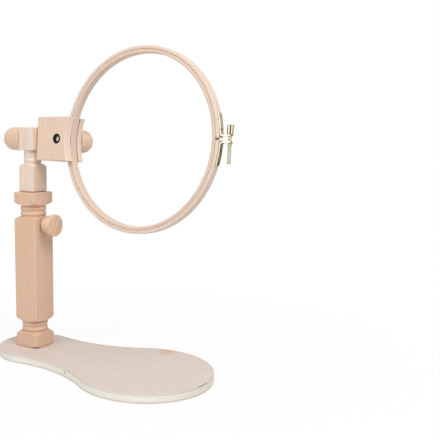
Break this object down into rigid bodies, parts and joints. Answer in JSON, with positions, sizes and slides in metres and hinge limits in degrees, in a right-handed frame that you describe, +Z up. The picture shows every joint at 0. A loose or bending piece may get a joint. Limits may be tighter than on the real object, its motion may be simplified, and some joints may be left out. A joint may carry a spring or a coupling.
{
  "type": "embroidery hoop on seat stand",
  "caption": "Split wooden embroidery hoop with a brass tension screw, gripped in a tilting clamp on a height-adjustable square post that stands on a flat spoon-shaped seat board.",
  "frame": {"origin": "on the post's axis at the underside of the base board", "axes": "+Z up along the post, +X along the board from the post towards the wide paddle, +Y to the rear of the hoop"},
  "size_m": [0.2676, 0.1332, 0.315],
  "materials": {
    "plywood": "fine-sanded, unlacquered",
    "beech": "fine-sanded, unlacquered",
    "bent_beech": "fine-sanded, unlacquered",
    "steel": "bright zinc plated",
    "blackened_metal": "blackened, satin",
    "brass": "plain, slightly dulled"
  },
  "bodies": {
    "stand": {"base_board": "plywood", "base_screw_left": "steel", "base_screw_right": "steel", "post": "beech", "lock_insert": "brass"},
    "lock": {"lock_knob": "beech", "lock_stud": "steel"},
    "lift": {"lift_rod": "beech"},
    "swivel_head": {"head": "beech"},
    "pivot": {"pivot_knob": "beech", "pivot_stud": "steel"},
    "clamp": {"front_jaw": "beech", "clamp_insert": "blackened_metal"},
    "clamp_rear": {"rear_jaw": "beech"},
    "clamp_tightener": {"clamp_knob": "beech", "clamp_screw": "steel"},
    "hoop": {"outer_ring": "bent_beech", "bracket_upper": "brass", "bracket_lower": "brass", "nail_upper_near": "brass", "nail_upper_far": "brass", "nail_lower_near": "brass", "nail_lower_far": "brass", "tension_nut": "brass"},
    "hoop_inner": {"inner_ring": "bent_beech"},
    "tensioner": {"tension_screw": "brass"}
  },
  "joints": [
    {"name": "lock_turn", "type": "hinge", "parent": "stand", "child": "lock", "pos_m": [0.0174, 0, 0.1397], "axis": [1, 0, 0], "continuous": true},
    {"name": "lift_slide", "type": "slide", "parent": "stand", "child": "lift", "axis": [0, 0, 1], "range_m": [0, 0.06]},
    {"name": "head_swivel", "type": "hinge", "parent": "lift", "child": "swivel_head", "pos_m": [0, 0, 0.1737], "axis": [0, 0, 1], "continuous": true},
    {"name": "pivot_turn", "type": "hinge", "parent": "swivel_head", "child": "pivot", "pos_m": [0, 0, 0.2284], "axis": [0.9988, -0.0489, 0], "continuous": true},
    {"name": "clamp_tilt", "type": "hinge", "parent": "swivel_head", "child": "clamp", "pos_m": [0, 0, 0.2284], "axis": [0.9988, -0.0489, 0], "continuous": true},
    {"name": "rear_jaw_slide", "type": "slide", "parent": "clamp", "child": "clamp_rear", "axis": [0.0487, 0.9949, -0.0889], "range_m": [0, 0.006]},
    {"name": "clamp_knob_turn", "type": "hinge", "parent": "clamp_rear", "child": "clamp_tightener", "pos_m": [0.03948, 0.02125, 0.22633], "axis": [0.0487, 0.9949, -0.0889], "range_deg": [0, 2160]},
    {"name": "hoop_turn", "type": "hinge", "parent": "clamp", "child": "hoop", "pos_m": [0.13049, 0.00284, 0.22758], "axis": [-0.0487, -0.9949, 0.0889], "range_deg": [-145, 145]},
    {"name": "inner_ring_turn", "type": "hinge", "parent": "hoop", "child": "hoop_inner", "pos_m": [0.13049, 0.00284, 0.22758], "axis": [-0.0487, -0.9949, 0.0889], "continuous": true},
    {"name": "tension_screw_turn", "type": "hinge", "parent": "hoop", "child": "tensioner", "pos_m": [0.22677, -0.00171, 0.22934], "axis": [-0.014, 0.0897, 0.9959], "continuous": true}
  ],
  "couplings": [
    {"joint": "clamp_knob_turn", "follows": "rear_jaw_slide", "rad_per_m": 6283.2}
  ]
}
